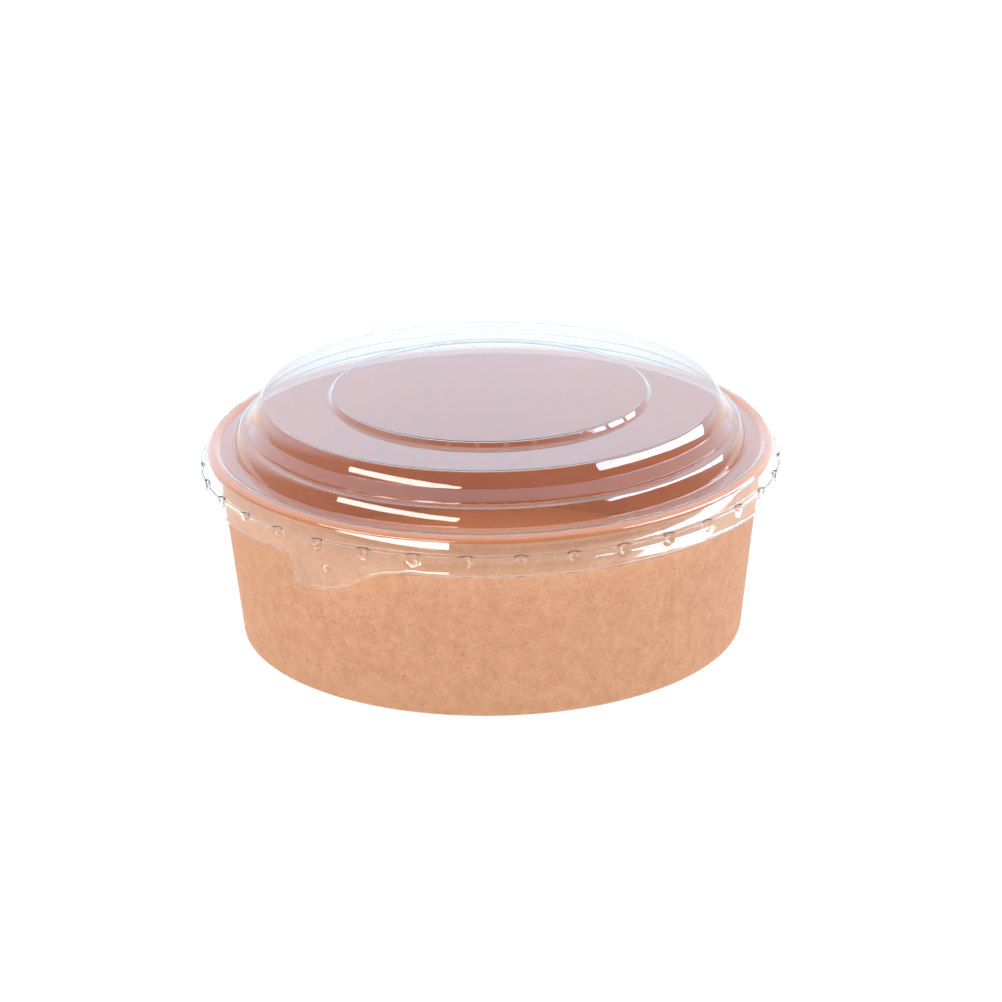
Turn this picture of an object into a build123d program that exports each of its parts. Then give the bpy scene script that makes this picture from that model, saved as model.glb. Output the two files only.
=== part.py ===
from build123d import *
import math
import os

# A round kraft board food bowl with a clear press-on lid.  Millimetres, +Z up, and the origin
# at the middle of the circle that the bowl stands on.  The lid's pull tab points to -Y.

# ---- the bowl ----------------------------------------------------------------------------
rim_d = 150.0            # outside of the rolled rim
foot_d = 134.2           # outside of the wall where it meets the table
bowl_h = 51.5            # table to the top of the rolled rim
roll_d = 3.0             # section of the rolled rim
roll_turn = 300.0        # degrees that the edge is curled through
wall_board = 0.45        # board of the side wall
base_board = 0.45        # board of the base
glue_gap = 0.02          # glue line between wall, base and tuck
base_recess = 6.0        # table to the underside of the base
tuck_h = 5.2             # height of the wall's edge folded in and up behind the base's edge
fold_inside = 0.05       # inner radius of that fold's two bends
base_bend = 1.0          # outer radius where the base turns down
base_edge_z = 1.0        # height of the base's turned-down edge
lap_w = 7.4              # width of the side seam's overlap
lap_step = 0.2           # how far the pressed overlap stands proud of the wall
lap_on_roll = 0.1        # and of the rolled rim
seam_from_tab = 8.4      # degrees from the lid's tab round to the side seam

# ---- the lid -----------------------------------------------------------------------------
lid_sheet = 0.35         # formed clear sheet
lid_fit = 0.3            # running clearance between the lid and the rolled rim
# The dome's steps from the rim's bead inwards: run, rise, and the bend at the upper end.
# Both risers swell outwards, so each is two steps with a wide bend between them.
dome_steps = [
    (3.1, 0.2, 0.6),     # floor of the groove inside the bead
    (0.7, 2.5, 15.0),    # lower riser
    (1.3, 2.3, 0.6),
    (1.7, 0.3, 0.25),    # ledge
    (0.2, 0.6, 0.5),     # short upright at the back of the ledge
    (2.0, 2.7, 0.6),     # sloping shoulder
    (0.8, 2.2, 15.0),    # upper riser
    (1.3, 1.9, 0.8),
    (17.6, -0.4, 0.5),   # wide ring, a little lower towards the middle
    (0.9, 1.5, 0.6),     # edge of the raised centre panel
]
groove_drop = 0.3        # floor of the groove below the top of the rolled rim
groove_bend = 0.8        # bend between that floor and the bead
bead_flank = 40.0        # degrees: slope of the bead towards the groove
bead_face = 80.0         # degrees: slope of its outer face
bead_round = 0.97        # bends of its crown, as a share of a bead concentric with the rim
face_bend = 0.35         # bend from the bead's face to the flange
flange_w = 2.1           # flange beyond the rolled rim
flange_drop = 4.2        # flange below the top of the rolled rim
flange_fall = 0.2        # fall of the flange to its edge
band_in = 0.4            # band under the flange, in from its edge
band_h = 1.7
flange_bend = 0.5        # bend at the flange's edge
band_bend = 0.8          # bend from the band to the skirt
skirt_h = 9.5            # lower edge of the skirt below the top of the rolled rim
skirt_out = 0.2          # skirt beyond the flange above its lip
lip_w = 0.4              # turned-out lip of the skirt
lip_h = 0.25
lip_bend = 0.4           # bend from the skirt to the lip
lug_count = 36           # snap lugs round the band
lug_shift = 2.6          # degrees from the tab's middle round to a lug
lug_r = 2.0              # radius of the scoop that forms a lug
lug_drop = 5.1           # middle of a lug below the top of the rolled rim
lug_fit = 0.6            # lug tips to the rolled rim
tab_drop = 6.9           # tab below the skirt's edge
tab_out = 1.5            # tab tip beyond the flange
steep_reach = 10.75      # tab's middle to half way down its steep side, towards -X
steep_slope = 76.0       # degrees
steep_bend = 3.0         # radius of that side's corners
shallow_reach = 8.9      # tab's middle to half way down its shallow side, towards +X
shallow_slope = 28.0     # degrees
shallow_bend = 20.0      # radius of that side's corners
lip_break = 1.0          # lip left off beyond the tab's corners
dimple_r = 1.3           # round dimple in the middle of the tab
dimple_depth = 0.4
dimple_drop = 9.9        # middle of the dimple below the top of the rolled rim

# ---- places that follow from them --------------------------------------------------------
roll_r = roll_d / 2
foot_r = foot_d / 2
roll_centre = Vector(rim_d / 2 - roll_r, bowl_h - roll_r)
foot_to_roll = roll_centre - Vector(foot_r, 0)
wall_slope = math.atan2(foot_to_roll.X, foot_to_roll.Y) - math.asin(
    (roll_r - wall_board) / foot_to_roll.length
)
out_of_wall = Vector(math.cos(wall_slope), -math.sin(wall_slope))
fold_bend = wall_board + fold_inside
tuck_in = 2 * wall_board + base_board + 2 * glue_gap
seam_angle = -90 - seam_from_tab
flange_r = rim_d / 2 + flange_w
lid_edge_z = bowl_h - skirt_h
band_foot = Vector(flange_r - band_in, bowl_h - flange_drop - band_h)


def wall_face_at(z, inward=0.0):
    """Point at height z on the wall's outer face, or on a line parallel to it further in."""
    radius = foot_r + z * math.tan(wall_slope) - inward / math.cos(wall_slope)
    return Vector(radius, z)


def moved_right(corners, distance):
    """The corners of a polyline moved square to its runs, to the right of the way it goes."""
    ways = [(end - start).normalized() for start, end in zip(corners, corners[1:])]
    rights = [Vector(way.Y, -way.X) for way in ways]
    moved = [corners[0] + rights[0] * distance]
    for corner, before, after in zip(corners[1:-1], rights, rights[1:]):
        moved.append(corner + (before + after) * (distance / (1 + before.dot(after))))
    return moved + [corners[-1] + rights[-1] * distance]


def sheet_section(corners, bends, thickness):
    """Section, in the X-Z plane, of a bent sheet that lies to the right of its corners."""
    runs = list(zip(corners, corners[1:]))
    turns = [(b - a).cross(d - c).Z for (a, b), (c, d) in zip(runs, runs[1:])]
    far_bends = [
        bend + math.copysign(thickness, turn) for bend, turn in zip(bends, turns)
    ]
    far_corners = moved_right(corners, thickness)
    face = FilletPolyline(*corners, radius=bends)
    far_face = FilletPolyline(*far_corners, radius=far_bends)
    ends = [Line(corners[0], far_corners[0]), Line(corners[-1], far_corners[-1])]
    return Plane.XZ * make_face([*face.edges(), *far_face.edges(), *ends])


def turned(section, degrees=360.0, middle=0.0):
    """Revolve a section about Z through an arc whose middle is at the given angle."""
    solid = revolve(section, Axis.Z, degrees)
    return Rot(Z=middle - degrees / 2) * solid


def bowl_sidewall():
    """The wrapped blank: tucked edge, wall, rolled rim and the proud strip of its side seam."""
    wall_top = roll_centre - out_of_wall * (roll_r - wall_board)
    tuck_top = wall_face_at(tuck_h, tuck_in)
    corners = [wall_top, wall_face_at(0), wall_face_at(0, tuck_in), tuck_top]
    wall = turned(sheet_section(corners, [fold_bend, fold_bend], wall_board))
    start = 180 - math.degrees(wall_slope)
    inner = CenterArc(roll_centre, roll_r - wall_board, start, -roll_turn)
    outer = CenterArc(roll_centre, roll_r, start, -roll_turn)
    ends = [Line(inner @ 0, outer @ 0), Line(inner @ 1, outer @ 1)]
    roll = turned(Plane.XZ * make_face([inner, outer, *ends]))

    lap_angle = math.degrees(lap_w / foot_r)
    wall_lap = make_face(Polyline(
        wall_face_at(fold_bend, wall_board / 2),
        wall_face_at(fold_bend, -lap_step),
        wall_face_at(bowl_h - roll_d, -lap_step),
        wall_face_at(bowl_h - roll_d, wall_board / 2),
        close=True,
    ))
    lap_on_wall = turned(Plane.XZ * wall_lap, lap_angle, seam_angle)
    roll_lap = Circle(roll_r + lap_on_roll) - Circle(roll_r - wall_board / 2)
    roll_lap = Pos(roll_centre.X, roll_centre.Y) * roll_lap
    clear_of_wall = wall_face_at(bowl_h - roll_d, -lap_step).X
    kept = Pos(clear_of_wall, roll_centre.Y) * Rectangle(
        rim_d, 2 * roll_d, align=(Align.MIN, Align.CENTER)
    )
    lap_on_rim = turned(Plane.XZ * (roll_lap & kept), lap_angle, seam_angle)
    return wall + roll + lap_on_wall + lap_on_rim


def bowl_base():
    """The base disc, with its edge turned down between the wall and the tucked edge."""
    pocket = wall_board + glue_gap
    top_z = base_recess + base_board
    corners = [
        Vector(0, top_z),
        wall_face_at(top_z, pocket),
        wall_face_at(base_edge_z, pocket),
    ]
    return turned(sheet_section(corners, [base_bend], base_board))


def lid_profile():
    """Corners of the lid's outer face from the middle outwards, and the bend at each."""
    bead_r = roll_r + lid_fit + lid_sheet
    crown_z = roll_centre.Y + bead_r
    flank = math.radians(bead_flank)
    face = math.radians(bead_face)
    crown_in = roll_centre.X - bead_r * math.tan(flank / 2)
    crown_out = roll_centre.X + bead_r * math.tan(face / 2)
    groove_z = bowl_h - groove_drop
    corner = Vector(crown_in - (crown_z - groove_z) / math.tan(flank), groove_z)
    dome = [(corner, groove_bend)]
    for run, rise, bend in dome_steps:
        corner += Vector(-run, rise)
        dome.append((corner, bend))
    middle = (Vector(0, corner.Y), None)
    bead_bend = bead_r * bead_round
    flange_z = bowl_h - flange_drop
    face_foot = crown_out + (crown_z - flange_z - flange_fall) / math.tan(face)
    skirt_z = lid_edge_z + lid_sheet
    outside = [
        (Vector(crown_in, crown_z), bead_bend),
        (Vector(crown_out, crown_z), bead_bend),
        (Vector(face_foot, flange_z + flange_fall), face_bend),
        (Vector(flange_r, flange_z), flange_bend),
        (band_foot, band_bend),
        (Vector(flange_r + skirt_out, skirt_z + lip_h), lip_bend),
        (Vector(flange_r + skirt_out + lip_w, skirt_z), None),
    ]
    return [middle, *reversed(dome), *outside]


def face_of_revolution(points):
    """Solid of revolution inside a line of points that runs from the axis to the axis."""
    return turned(Plane.XZ * make_face(Polyline(*points, close=True)))


def tab_cone():
    """Outer face of the pull tab as two points: where it leaves the band, and its tip."""
    return [band_foot, Vector(flange_r + tab_out, lid_edge_z - tab_drop)]


def tab_outline():
    """Corners of the pull tab's lower edge, from the skirt's edge at -X to that at +X."""
    sides = []
    for reach, slope, bend in (
        (steep_reach, steep_slope, steep_bend),
        (shallow_reach, shallow_slope, shallow_bend),
    ):
        lean = tab_drop / 2 / math.tan(math.radians(slope))
        bend_end = reach + lean + bend * math.tan(math.radians(slope / 2))
        sides.append([
            Vector(reach - lean, lid_edge_z - tab_drop),
            Vector(reach + lean, lid_edge_z),
            Vector(bend_end + lip_break, lid_edge_z),
        ])
    steep, shallow = sides
    return [Vector(-corner.X, corner.Y) for corner in reversed(steep)] + shallow


def pull_tab():
    """The conical lobe that carries the skirt down below its edge."""
    root, tip = tab_cone()
    near = moved_right([root, tip], lid_sheet)
    cone = face_of_revolution([root, tip, near[1], near[0]])
    outline = tab_outline()
    bends = [steep_bend, steep_bend, shallow_bend, shallow_bend]
    lower_edge = FilletPolyline(*outline, radius=bends)
    up = Vector(0, rim_d)
    rest = Polyline(lower_edge @ 1, outline[-1] + up, outline[0] + up, lower_edge @ 0)
    lobe = make_face([*lower_edge.edges(), *rest.edges()])
    return cone & extrude(Plane.XZ * lobe, rim_d)


def lip_over_tab():
    """What of the skirt's lip lies outside the pull tab's face, along the tab's root."""
    root, tip = tab_cone()
    beyond = Vector(tip.X + tab_out, root.Y)
    below = Vector(tip.X + tab_out, tip.Y)
    ring = face_of_revolution([root, tip, below, beyond])
    outline = tab_outline()
    root_w = outline[-1].X - outline[0].X
    root_box = Box(root_w, rim_d, rim_d, align=(Align.MIN, Align.MAX, Align.CENTER))
    return ring & Pos(X=outline[0].X) * root_box


def pressed_in(sheet, inside, centre, radius, angles):
    """Press round hollows into the sheet, one ball's shape at each angle about Z."""
    seam_inward = Pos(centre) * Rot(Z=180)
    scoop = seam_inward * Sphere(radius)
    cup = (seam_inward * Sphere(radius + lid_sheet) & inside) - scoop
    scoops = [Rot(Z=angle) * scoop for angle in angles]
    cups = [Rot(Z=angle) * cup for angle in angles]
    return (sheet - scoops) + cups


def lid():
    """The formed lid: stepped dome, bead over the rolled rim, skirt, tab, lugs and dimple."""
    profile = lid_profile()
    corners = [corner for corner, bend in profile]
    bends = [bend for corner, bend in profile[1:-1]]
    sheet = turned(sheet_section(corners, bends, lid_sheet))
    sheet = sheet - lip_over_tab() + pull_tab()

    outer_face = FilletPolyline(*corners, radius=bends)
    lid_axis = Polyline(corners[-1], Vector(0, corners[-1].Y), corners[0])
    inside = turned(Plane.XZ * make_face([*outer_face.edges(), *lid_axis.edges()]))
    lug_centre = Vector(rim_d / 2 + lug_fit + lid_sheet + lug_r, 0, bowl_h - lug_drop)
    lug_angles = [-90 - lug_shift + turn * 360 / lug_count for turn in range(lug_count)]
    sheet = pressed_in(sheet, inside, lug_centre, lug_r, lug_angles)

    root, tip = tab_cone()
    within_tab = face_of_revolution([root, tip, Vector(0, tip.Y), Vector(0, root.Y)])
    ball_r = (dimple_r**2 + dimple_depth**2) / (2 * dimple_depth)
    dimple_z = bowl_h - dimple_drop
    face_r = root.X + (root.Y - dimple_z) * (tip.X - root.X) / (root.Y - tip.Y)
    dimple_centre = Vector(face_r + ball_r - dimple_depth, 0, dimple_z)
    return pressed_in(sheet, within_tab, dimple_centre, ball_r, [-90])


os.makedirs("parts", exist_ok=True)
for name, make in (("bowl_sidewall", bowl_sidewall), ("bowl_base", bowl_base), ("lid", lid)):
    shape = make()
    print(name, "valid:", shape.is_valid, "solids:", len(shape.solids()))
    export_step(shape, f"parts/{name}.step")
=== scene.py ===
import math

import bmesh
import bpy
from mathutils import Matrix, Vector


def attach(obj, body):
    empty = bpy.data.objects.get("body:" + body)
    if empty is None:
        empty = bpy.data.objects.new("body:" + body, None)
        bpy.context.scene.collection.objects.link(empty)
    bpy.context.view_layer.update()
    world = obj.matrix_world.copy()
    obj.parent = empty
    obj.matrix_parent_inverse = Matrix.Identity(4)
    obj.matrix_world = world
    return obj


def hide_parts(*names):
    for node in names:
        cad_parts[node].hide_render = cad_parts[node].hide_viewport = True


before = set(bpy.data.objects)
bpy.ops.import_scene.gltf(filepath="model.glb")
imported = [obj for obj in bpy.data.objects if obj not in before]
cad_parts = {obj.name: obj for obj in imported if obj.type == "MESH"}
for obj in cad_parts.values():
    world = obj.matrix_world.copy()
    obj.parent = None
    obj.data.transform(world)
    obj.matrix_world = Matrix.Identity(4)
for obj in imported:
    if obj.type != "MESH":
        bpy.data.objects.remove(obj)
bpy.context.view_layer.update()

# ---- Side wall ---------------------------------------------------------------------------
# A strip of kraft board wrapped round the base and glued at one lapped seam.  Its top edge is
# curled outwards into the rim, and its bottom edge is folded in and up behind the base's edge.
# The side towards the food carries a thin clear lining.
MM = 0.001
foot_radius = 67.1 * MM
rim_middle = Vector((73.5 * MM, 0, 50.0 * MM))
rim_section = 1.5 * MM
rim_curl = math.radians(300)
wall_slope = math.radians(6.103)
board = 0.45 * MM
tuck_gap = 0.94 * MM
tuck_height = 5.2 * MM
fold_bend = 0.1 * MM
fold_steps = 3
curl_steps = 40
wall_columns = 360
seam_middle = math.radians(-98.4)
seam_width = 7.4 * MM
seam_step = 0.2 * MM
seam_step_on_rim = 0.1 * MM
rim_skin = 0.015 * MM
same_place = 0.001 * MM
sharp_edge = math.radians(50)
mottle_scale = 260
fibre_scale = 900
fleck_scale = 700
fibre_share = 0.45


def wall_point(height, inward=0.0):
    """Point in the X-Z plane on the wall's outer face, or parallel to it further in."""
    out = foot_radius + height * math.tan(wall_slope) - inward / math.cos(wall_slope)
    return Vector((out, 0, height))


def bent_line(bm, corners, bends, steps):
    """A bent line through the corners, each rounded off to its own radius."""
    made = [bm.verts.new(corner) for corner in corners]
    for start, end in zip(made, made[1:]):
        bm.edges.new((start, end))
    inner = zip(corners[1:], made[1:], corners, corners[2:], bends)
    for corner, vert, before, after, bend in inner:
        turn = (corner - before).angle(after - corner)
        bmesh.ops.bevel(bm, geom=[vert], offset=bend * math.tan(turn / 2), offset_type="OFFSET",
                        segments=steps, profile=0.5, affect="VERTICES", material=-1)


def bearing(point):
    """Angle of a point about Z from the X axis."""
    return math.atan2(point.y, point.x)


def spread_columns(bm, spacing):
    """Move each column of the turned skin to the angle that spacing gives for its own."""
    for vert in bm.verts:
        turn = spacing(bearing(vert.co)) - bearing(vert.co)
        vert.co = Matrix.Rotation(turn, 3, "Z") @ vert.co


def turn_full(bm, columns):
    """Turn the section once round Z, and join the last column to the first."""
    bmesh.ops.spin(bm, geom=bm.verts[:] + bm.edges[:], cent=(0, 0, 0), axis=(0, 0, 1),
                   dvec=(0, 0, 0), angle=math.tau, steps=columns, use_merge=True,
                   use_normal_flip=False, use_duplicate=False)
    bmesh.ops.remove_doubles(bm, verts=bm.verts, dist=same_place)


def shown_as(name, bm, materials, body, node):
    """Put a finished mesh in the scene as the piece that stands for one node."""
    mesh = bpy.data.meshes.new(name)
    bm.to_mesh(mesh)
    bm.free()
    mesh.shade_smooth()
    mesh.set_sharp_from_angle(angle=sharp_edge)
    for material in materials:
        mesh.materials.append(material)
    piece = bpy.data.objects.new(name, mesh)
    bpy.context.scene.collection.objects.link(piece)
    flats = piece.modifiers.new("flats_stay_flat", "WEIGHTED_NORMAL")
    flats.keep_sharp = True
    flats.weight = 100
    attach(piece, body)
    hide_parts(node)
    return piece


def board_fibres():
    """Node group: the mottle, fibres and flecks of unbleached kraft board."""
    group = bpy.data.node_groups.new("board_fibres", "ShaderNodeTree")
    group.interface.new_socket("Place", in_out="INPUT", socket_type="NodeSocketVector")
    for name in ("Mottle", "Flecks", "Height"):
        group.interface.new_socket(name, in_out="OUTPUT", socket_type="NodeSocketFloat")
    nodes, links = group.nodes, group.links
    taken = nodes.new("NodeGroupInput")
    given = nodes.new("NodeGroupOutput")
    cloud = nodes.new("ShaderNodeTexNoise")
    cloud.inputs["Detail"].default_value = 4
    cloud.inputs["Roughness"].default_value = 0.72
    cloud.inputs["Scale"].default_value = mottle_scale
    links.new(taken.outputs["Place"], cloud.inputs["Vector"])
    fibre = nodes.new("ShaderNodeTexNoise")
    fibre.inputs["Detail"].default_value = 3
    fibre.inputs["Distortion"].default_value = 1.4
    fibre.inputs["Scale"].default_value = fibre_scale
    links.new(taken.outputs["Place"], fibre.inputs["Vector"])
    both = nodes.new("ShaderNodeMix")
    both.inputs["Factor"].default_value = fibre_share
    links.new(cloud.outputs["Fac"], both.inputs["A"])
    links.new(fibre.outputs["Fac"], both.inputs["B"])
    links.new(both.outputs["Result"], given.inputs["Mottle"])
    links.new(both.outputs["Result"], given.inputs["Height"])
    fleck = nodes.new("ShaderNodeTexNoise")
    fleck.inputs["Scale"].default_value = fleck_scale
    fleck.inputs["Detail"].default_value = 1
    links.new(taken.outputs["Place"], fleck.inputs["Vector"])
    few = nodes.new("ShaderNodeMapRange")
    few.inputs["From Min"].default_value = 0.71
    few.inputs["From Max"].default_value = 0.78
    links.new(fleck.outputs["Fac"], few.inputs["Value"])
    links.new(few.outputs["Result"], given.inputs["Flecks"])
    return group


fibres = board_fibres()


def kraft_board(name, dark, light, fleck_colour, roughness, coat):
    """Material: kraft board, its colour running between two tones with darker flecks."""
    material = bpy.data.materials.new(name)
    material.use_nodes = True
    nodes, links = material.node_tree.nodes, material.node_tree.links
    shader = nodes["Principled BSDF"]
    shader.inputs["Roughness"].default_value = roughness
    shader.inputs["Specular IOR Level"].default_value = 0.35
    shader.inputs["Coat Weight"].default_value = coat
    shader.inputs["Coat Roughness"].default_value = 0.3
    place = nodes.new("ShaderNodeTexCoord")
    pulp = nodes.new("ShaderNodeGroup")
    pulp.node_tree = fibres
    links.new(place.outputs["Object"], pulp.inputs["Place"])
    tone = nodes.new("ShaderNodeValToRGB")
    tone.color_ramp.elements[0].position = 0.33
    tone.color_ramp.elements[0].color = (*dark, 1)
    tone.color_ramp.elements[1].position = 0.67
    tone.color_ramp.elements[1].color = (*light, 1)
    links.new(pulp.outputs["Mottle"], tone.inputs["Fac"])
    flecked = nodes.new("ShaderNodeMix")
    flecked.data_type = "RGBA"
    flecked.inputs["B"].default_value = (*fleck_colour, 1)
    links.new(pulp.outputs["Flecks"], flecked.inputs["Factor"])
    links.new(tone.outputs["Color"], flecked.inputs["A"])
    links.new(flecked.outputs["Result"], shader.inputs["Base Color"])
    relief = nodes.new("ShaderNodeBump")
    relief.inputs["Strength"].default_value = 0.12
    relief.inputs["Distance"].default_value = 0.0001
    links.new(pulp.outputs["Height"], relief.inputs["Height"])
    links.new(relief.outputs["Normal"], shader.inputs["Normal"])
    return material


kraft_outside = kraft_board(
    "kraft_outside", dark=(0.55, 0.262, 0.135), light=(0.72, 0.380, 0.222),
    fleck_colour=(0.50, 0.23, 0.12), roughness=0.82, coat=0.0,
)
kraft_lined = kraft_board(
    "kraft_lined", dark=(0.44, 0.115, 0.022), light=(0.55, 0.17, 0.036),
    fleck_colour=(0.38, 0.09, 0.018), roughness=0.55, coat=0.15,
)

bm = bmesh.new()
rim_start = rim_middle + Matrix.Rotation(wall_slope, 3, "Y") @ Vector((-rim_section, 0, 0))
lined_face = [
    rim_start,
    wall_point(board, board),
    wall_point(board, tuck_gap + board),
    wall_point(tuck_height, tuck_gap + board),
]
bent_line(bm, lined_face, [fold_bend, fold_bend], fold_steps)
rim_vert = min(bm.verts, key=lambda v: (v.co - rim_start).length)
bmesh.ops.spin(bm, geom=[rim_vert], cent=rim_middle, axis=(0, 1, 0), dvec=(0, 0, 0),
               angle=rim_curl, steps=curl_steps)
turn_full(bm, wall_columns)
bmesh.ops.recalc_face_normals(bm, faces=bm.faces)
bmesh.ops.solidify(bm, geom=bm.faces, thickness=board)


def from_seam(angle):
    """Angle from the middle of the seam, between minus and plus half a turn."""
    return math.remainder(angle - seam_middle, math.tau)


def columns_at_seam(angle):
    """Bring the columns on both sides of each edge of the seam close to that edge."""
    away = from_seam(angle)
    turn = math.degrees(abs(away))
    half_lap = math.degrees(seam_width / 2 / foot_radius)
    before_edge, after_edge = 0.04, 0.1
    # Degrees from the middle of the seam: where the columns lie evenly, and where they go.
    even = [0, 3, 4, 8, 180]
    drawn = [0, half_lap - before_edge, half_lap + after_edge, 8, 180]
    span = max(i for i in range(len(even) - 1) if turn >= even[i] - 1e-3)
    share = (turn - even[span]) / (even[span + 1] - even[span])
    moved = drawn[span] + share * (drawn[span + 1] - drawn[span])
    return seam_middle + math.copysign(math.radians(moved), away)


spread_columns(bm, columns_at_seam)
out_of_wall = Vector((math.cos(wall_slope), 0, -math.sin(wall_slope)))
for vert in bm.verts:
    out = math.hypot(vert.co.x, vert.co.y)
    on_seam = abs(from_seam(bearing(vert.co))) < seam_width / 2 / foot_radius
    flat = Vector((out, 0, vert.co.z))
    from_rim = flat - rim_middle
    outer_skin = from_rim.length > rim_section - board / 2
    on_rim = outer_skin and vert.co.z > rim_middle.z - rim_section
    on_wall = out > wall_point(vert.co.z, board / 2).x
    if on_seam and vert.co.z > board and (on_wall or on_rim):
        if from_rim.length < rim_section + rim_skin:
            raised = from_rim.normalized() * seam_step_on_rim * outer_skin
        else:
            raised = out_of_wall * seam_step
        vert.co += Matrix.Rotation(bearing(vert.co), 3, "Z") @ raised
for face in bm.faces:
    middle = face.calc_center_median()
    out = math.hypot(middle.x, middle.y)
    face.material_index = int(out < wall_point(middle.z, board / 2).x or middle.z > rim_middle.z)
shown_as("sidewall", bm, [kraft_outside, kraft_lined], "bowl", "bowl_sidewall")


# ---- Base --------------------------------------------------------------------------------
# A disc of lined kraft board whose edge is turned down and glued in the fold of the side wall,
# so that it stands clear of the table.  The lining faces the food.
base_top = 6.45 * MM
base_edge = 1.0 * MM
base_bend = 1.0 * MM
base_bend_steps = 6
pocket = 0.47 * MM

bm = bmesh.new()
top_face = [
    Vector((0, 0, base_top)),
    wall_point(base_top, pocket),
    wall_point(base_edge, pocket),
]
bent_line(bm, top_face, [base_bend], base_bend_steps)
turn_full(bm, wall_columns // 2)
bmesh.ops.recalc_face_normals(bm, faces=bm.faces)
if max(bm.faces, key=lambda f: f.calc_area()).normal.z < 0:
    bmesh.ops.reverse_faces(bm, faces=bm.faces)
bmesh.ops.solidify(bm, geom=bm.faces, thickness=board)
for face in bm.faces:
    face.material_index = int(face.normal.z < -0.5)
shown_as("base_disc", bm, [kraft_lined, kraft_outside], "bowl", "bowl_base")


# ---- Lid ---------------------------------------------------------------------------------
# One sheet of clear plastic, heated and drawn over a stepped form.  A bead lies over the
# bowl's rim, lugs pressed into the band below it snap under the rim, and the skirt ends in a
# turned-out lip and a pull tab with a dimple.
sheet = 0.35 * MM
lid_columns = 504
bend_steps = 3
band_cuts = 4
tab_cuts = 2
flange_height = 47.3 * MM
lug_count = 36
lug_phase = math.radians(-92.6)
lug_middle = Vector((77.95 * MM, 0, 46.4 * MM))
lug_radius = 2.0 * MM
lug_gather = 0.55
band_foot = Vector((76.7 * MM, 0, 45.6 * MM))
skirt_foot = 42.35 * MM
skirt_end = 42.0 * MM
tab_middle = math.radians(-90)
tab_tip = Vector((78.6 * MM, 0, 35.1 * MM))
# Of the tab's steep side and of its shallow side: where it is half way down, its slope, and
# the radius of its corners.
steep_side = (-10.75 * MM, math.radians(76), 3.0 * MM)
shallow_side = (8.9 * MM, math.radians(28), 20.0 * MM)
tab_left = -14.0 * MM
tab_right = 21.0 * MM
lip_fade = 1.5 * MM
dimple_middle = Vector((79.45 * MM, 0, 41.6 * MM))
dimple_radius = 2.3125 * MM
# From the middle of the top outwards: radius, height and bend of each corner, in millimetres.
lid_corners = [
    (0, 65.0, 0), (41.985, 65.0, 0.6), (42.885, 63.5, 0.5),
    (60.485, 63.9, 0.8), (61.785, 62.0, 15.0), (62.585, 59.8, 0.6),
    (64.585, 57.1, 0.5), (64.785, 56.5, 0.25),
    (66.485, 56.2, 0.6), (67.785, 53.9, 15.0), (68.485, 51.4, 0.6), (71.585, 51.2, 0.8),
    (72.717, 52.15, 2.0855), (75.304, 52.15, 2.0855),
    (76.124, 47.5, 0.35), (77.1, 47.3, 0.5),
    (76.7, 45.6, 0.8), (77.3, 42.6, 0.4), (77.7, 42.35, 0),
]


def tab_edge(across):
    """Height of the skirt's lower edge at a distance across from the tab's middle."""
    middle, slope, corner = steep_side if across < 0 else shallow_side
    drop = skirt_end - tab_tip.z
    reach = corner * math.tan(slope / 2)
    spread = drop / 2 / math.tan(slope) + reach
    beyond = abs(across) - abs(middle)
    if abs(beyond) >= spread:
        return skirt_end if beyond > 0 else tab_tip.z
    from_end = spread - abs(beyond)
    if from_end <= corner * math.sin(slope):
        bent = corner - math.sqrt(corner**2 - from_end**2)
    else:
        bent = drop / 2 - abs(beyond) * math.tan(slope)
    return skirt_end - bent if beyond > 0 else tab_tip.z + bent


def columns_at_lugs(angle):
    """Draw the columns together at the lugs, where the form is finest."""
    phase = lug_count * (angle - lug_phase)
    return angle - lug_gather * math.sin(phase) / lug_count


def push_out_of_ball(bm, centre, radius):
    """Press a ball into the skin: what lies inside it moves straight out to its face."""
    for vert in bm.verts:
        away = vert.co - centre
        if away.length < radius:
            vert.co = centre + away.normalized() * radius


bm = bmesh.new()
corners = [Vector((out * MM, 0, height * MM)) for out, height, bend in lid_corners]
bent_line(bm, corners, [bend * MM for out, height, bend in lid_corners[1:-1]], bend_steps)
long_bands = [e for e in bm.edges if max(v.co.z for v in e.verts) < flange_height
              and e.calc_length() > 1 * MM]
bmesh.ops.subdivide_edges(bm, edges=long_bands, cuts=band_cuts)
turn_full(bm, lid_columns)
bmesh.ops.recalc_face_normals(bm, faces=bm.faces)
if max(bm.faces, key=lambda f: f.calc_area()).normal.z < 0:
    bmesh.ops.reverse_faces(bm, faces=bm.faces)
spread_columns(bm, columns_at_lugs)


def across_tab(point):
    """Distance along the skirt from the tab's middle."""
    return (bearing(point) - tab_middle) * band_foot.x


tab_faces = [f for f in bm.faces
             if tab_left < across_tab(f.calc_center_median()) < tab_right
             and f.calc_center_median().z < band_foot.z]
tab_edges = {edge for face in tab_faces for edge in face.edges}
bmesh.ops.subdivide_edges(bm, edges=list(tab_edges), cuts=tab_cuts, use_grid_fill=True)
cone_lean = (tab_tip.x - band_foot.x) / (band_foot.z - tab_tip.z)
for vert in bm.verts:
    across = across_tab(vert.co)
    inside = min(1, (across - tab_left) / lip_fade, (tab_right - across) / lip_fade)
    if vert.co.z < band_foot.z - same_place and inside > 0:
        fall = (band_foot.z - vert.co.z) / (band_foot.z - skirt_foot)
        height = band_foot.z - fall * (band_foot.z - tab_edge(across))
        cone = band_foot.x + (band_foot.z - height) * cone_lean
        out = math.hypot(vert.co.x, vert.co.y)
        new_out = out + (cone - out) * inside
        new_height = vert.co.z + (height - vert.co.z) * inside
        vert.co = Vector((vert.co.x * new_out / out, vert.co.y * new_out / out, new_height))
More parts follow.
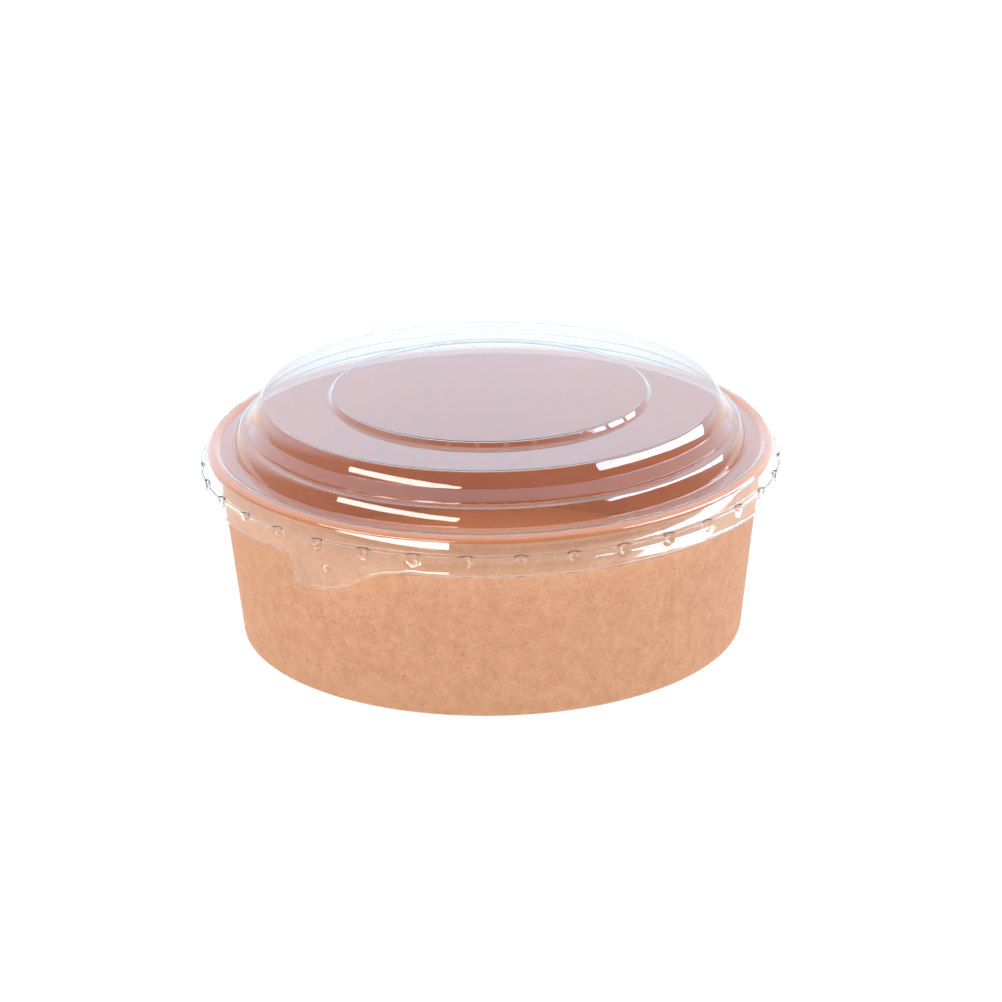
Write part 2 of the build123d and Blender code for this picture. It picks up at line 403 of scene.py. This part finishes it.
for lug in range(lug_count):
    turn = Matrix.Rotation(lug_phase + lug * math.tau / lug_count, 3, "Z")
    push_out_of_ball(bm, turn @ lug_middle, lug_radius)
push_out_of_ball(bm, Matrix.Rotation(tab_middle, 3, "Z") @ dimple_middle, dimple_radius)
bmesh.ops.solidify(bm, geom=bm.faces, thickness=sheet)

clear_sheet = bpy.data.materials.new("clear_sheet")
clear_sheet.use_nodes = True
nodes, links = clear_sheet.node_tree.nodes, clear_sheet.node_tree.links
shader = nodes["Principled BSDF"]
shader.inputs["Base Color"].default_value = (0.935, 0.925, 0.915, 1)
shader.inputs["Roughness"].default_value = 0.03
shader.inputs["IOR"].default_value = 1.57
shader.inputs["Transmission Weight"].default_value = 1
place = nodes.new("ShaderNodeTexCoord")
draw_marks = nodes.new("ShaderNodeTexNoise")
draw_marks.inputs["Scale"].default_value = 90
draw_marks.inputs["Detail"].default_value = 2
links.new(place.outputs["Object"], draw_marks.inputs["Vector"])
ripple = nodes.new("ShaderNodeBump")
ripple.inputs["Strength"].default_value = 0.03
ripple.inputs["Distance"].default_value = 0.0005
links.new(draw_marks.outputs["Fac"], ripple.inputs["Height"])
links.new(ripple.outputs["Normal"], shader.inputs["Normal"])
lets_light_in = nodes.new("ShaderNodeBsdfTransparent")
lets_light_in.inputs["Color"].default_value = (1, 1, 1, 1)
ray = nodes.new("ShaderNodeLightPath")
either = nodes.new("ShaderNodeMixShader")
links.new(ray.outputs["Is Shadow Ray"], either.inputs["Fac"])
links.new(shader.outputs["BSDF"], either.inputs[1])
links.new(lets_light_in.outputs["BSDF"], either.inputs[2])
links.new(either.outputs["Shader"], nodes["Material Output"].inputs["Surface"])
shown_as("clear_lid", bm, [clear_sheet], "lid", "lid")


# ---- Table -------------------------------------------------------------------------------
# A plain white table top that carries light of its own, as a lit product table does.  It is
# wide enough to fill the view behind the bowl.
table_radius = 6.0

bm = bmesh.new()
bmesh.ops.create_circle(bm, cap_ends=True, segments=96, radius=table_radius)
table_mesh = bpy.data.meshes.new("table")
bm.to_mesh(table_mesh)
bm.free()
table = bpy.data.objects.new("table", table_mesh)
bpy.context.scene.collection.objects.link(table)
table_white = bpy.data.materials.new("table_white")
table_white.use_nodes = True
shader = table_white.node_tree.nodes["Principled BSDF"]
shader.inputs["Base Color"].default_value = (0.05, 0.05, 0.05, 1)
shader.inputs["Roughness"].default_value = 0.9
shader.inputs["Specular IOR Level"].default_value = 0.1
shader.inputs["Emission Color"].default_value = (1, 1, 1, 1)
shader.inputs["Emission Strength"].default_value = 0.97
table_mesh.materials.append(table_white)


# ---- Camera ------------------------------------------------------------------------------
# A long lens, a little above the lid, turned so that the pull tab shows at the front left.
# Sensor and lens are in millimetres, the rest in metres and degrees.
sensor_width = 36.0
lens = 126.3643
aim = Vector((0, 0, 0.035))
camera_away = 0.94187
camera_turn = math.radians(32.0)
camera_rise = math.radians(20.666)
camera_roll = math.radians(-0.7935)
camera_pan = math.radians(-0.16421)
camera_tilt = math.radians(-0.11713)

camera_data = bpy.data.cameras.new("camera")
camera_data.sensor_width = sensor_width
camera_data.lens = lens
camera_data.clip_start = 0.05
camera_data.clip_end = 20
camera = bpy.data.objects.new("camera", camera_data)
bpy.context.scene.collection.objects.link(camera)
bpy.context.scene.camera = camera
back = Vector((
    math.sin(camera_turn) * math.cos(camera_rise),
    -math.cos(camera_turn) * math.cos(camera_rise),
    math.sin(camera_rise),
))
forward = -back
right = forward.cross(Vector((0, 0, 1))).normalized()
up = right.cross(forward)
rolled_right = math.cos(camera_roll) * right + math.sin(camera_roll) * up
rolled_up = math.cos(camera_roll) * up - math.sin(camera_roll) * right
camera_x = math.cos(camera_pan) * rolled_right + math.sin(camera_pan) * forward
ahead = math.cos(camera_pan) * forward - math.sin(camera_pan) * rolled_right
camera_y = math.cos(camera_tilt) * rolled_up - math.sin(camera_tilt) * ahead
camera_z = camera_x.cross(camera_y)
facing = Matrix((camera_x, camera_y, camera_z)).transposed().to_4x4()
camera.matrix_world = Matrix.Translation(aim + back * camera_away) @ facing


# ---- Lights ------------------------------------------------------------------------------
# Two long soft boxes and two low strips at the sides draw the streaks on the lid, and light
# nothing matt.  A cloth of light above and behind lights the inside of the bowl, and a pale
# band round the horizon lights its wall.
warm = (1.0, 0.97, 0.92)
cool = (0.86, 1.0, 1.2)


def towards(turn, rise):
    """Direction at an angle to the right of the camera and an elevation."""
    about = camera_turn + math.radians(turn)
    high = math.radians(rise)
    level = Vector((math.sin(about), -math.cos(about), 0)) * math.cos(high)
    return level + Vector((0, 0, math.sin(high)))


def soft_box(name, turn, rise, lean, away, width, height, power, colour):
    """A long area light that faces the bowl from that direction, turned by lean in its plane."""
    data = bpy.data.lights.new(name, "AREA")
    data.shape = "RECTANGLE"
    data.size = width
    data.size_y = height
    data.energy = power
    data.color = colour
    box = bpy.data.objects.new(name, data)
    bpy.context.scene.collection.objects.link(box)
    out = towards(turn, rise)
    facing = out.to_track_quat("Z", "Y").to_matrix() @ Matrix.Rotation(math.radians(lean), 3, "Z")
    box.matrix_world = Matrix.Translation(aim + out * away) @ facing.to_4x4()
    return box


# Each: turn, rise and lean in degrees, distance, width and height in metres, watts, colour.
for streak in (
    soft_box("left_box", -43, 24, 0, 1.6, 1.6, 0.17, 8, warm),
    soft_box("right_box", 92, 23, -21, 1.6, 2.1, 0.27, 16, cool),
    soft_box("left_low_strip", -38, 4, 0, 1.6, 1.3, 0.10, 5, warm),
    soft_box("right_low_strip", 78, -2.6, 0, 0.45, 0.78, 0.026, 0.9, cool),
):
    streak.visible_diffuse = False
    streak.visible_camera = False

world = bpy.data.worlds.new("room")
bpy.context.scene.world = world
world.use_nodes = True
nodes, links = world.node_tree.nodes, world.node_tree.links
nodes.remove(nodes["Background"])
place = nodes.new("ShaderNodeTexCoord")
band_top = math.radians(19)
band_full = math.radians(7)


def sail(name, middle, dim_beyond, bright_within, dim, bright, horizon):
    """A cloth of light overhead that fades to a dim room, and a pale band round the horizon."""
    turned = nodes.new("ShaderNodeVectorMath")
    turned.operation = "DOT_PRODUCT"
    turned.inputs[1].default_value = middle
    links.new(place.outputs["Generated"], turned.inputs[0])
    spread = nodes.new("ShaderNodeMapRange")
    spread.interpolation_type = "SMOOTHSTEP"
    spread.inputs["From Min"].default_value = math.cos(math.radians(dim_beyond))
    spread.inputs["From Max"].default_value = math.cos(math.radians(bright_within))
    links.new(turned.outputs["Value"], spread.inputs["Value"])
    colour = nodes.new("ShaderNodeMix")
    colour.data_type = "RGBA"
    colour.inputs["A"].default_value = (*dim, 1)
    colour.inputs["B"].default_value = (*bright, 1)
    links.new(spread.outputs["Result"], colour.inputs["Factor"])
    parts = nodes.new("ShaderNodeSeparateXYZ")
    links.new(place.outputs["Generated"], parts.inputs["Vector"])
    low = nodes.new("ShaderNodeMapRange")
    low.interpolation_type = "SMOOTHSTEP"
    low.inputs["From Min"].default_value = math.sin(band_top)
    low.inputs["From Max"].default_value = math.sin(band_full)
    links.new(parts.outputs["Z"], low.inputs["Value"])
    banded = nodes.new("ShaderNodeMix")
    banded.data_type = "RGBA"
    banded.blend_type = "ADD"
    banded.inputs["B"].default_value = (horizon, horizon, horizon, 1)
    links.new(low.outputs["Result"], banded.inputs["Factor"])
    links.new(colour.outputs["Result"], banded.inputs["A"])
    glow = nodes.new("ShaderNodeBackground")
    glow.name = name
    links.new(banded.outputs["Result"], glow.inputs["Color"])
    return glow


falls = sail(
    "sail_as_light", towards(180, 70), dim_beyond=44, bright_within=32,
    dim=(0.18, 0.175, 0.17), bright=(5.8, 5.8, 5.8), horizon=2.8,
)
mirrored = sail(
    "sail_in_gloss", towards(180, 60), dim_beyond=75, bright_within=66,
    dim=(0.16, 0.15, 0.14), bright=(1.25, 1.75, 2.2), horizon=0,
)
plain = nodes.new("ShaderNodeBackground")
plain.inputs["Color"].default_value = (1, 1, 1, 1)
ray = nodes.new("ShaderNodeLightPath")
lit = nodes.new("ShaderNodeMixShader")
links.new(ray.outputs["Is Glossy Ray"], lit.inputs["Fac"])
links.new(falls.outputs["Background"], lit.inputs[1])
links.new(mirrored.outputs["Background"], lit.inputs[2])
seen = nodes.new("ShaderNodeMath")
seen.operation = "MAXIMUM"
links.new(ray.outputs["Is Camera Ray"], seen.inputs[0])
links.new(ray.outputs["Is Transmission Ray"], seen.inputs[1])
first_hand = nodes.new("ShaderNodeMath")
first_hand.operation = "GREATER_THAN"
links.new(seen.outputs["Value"], first_hand.inputs[0])
links.new(ray.outputs["Diffuse Depth"], first_hand.inputs[1])
either = nodes.new("ShaderNodeMixShader")
links.new(first_hand.outputs["Value"], either.inputs["Fac"])
links.new(lit.outputs["Shader"], either.inputs[1])
links.new(plain.outputs["Background"], either.inputs[2])
links.new(either.outputs["Shader"], nodes["World Output"].inputs["Surface"])

scene = bpy.context.scene
scene.view_settings.view_transform = "Standard"
scene.cycles.max_bounces = 20
scene.cycles.transmission_bounces = 18
scene.cycles.transparent_max_bounces = 16
scene.cycles.diffuse_bounces = 5
scene.cycles.glossy_bounces = 6
scene.cycles.caustics_refractive = True
scene.cycles.caustics_reflective = False
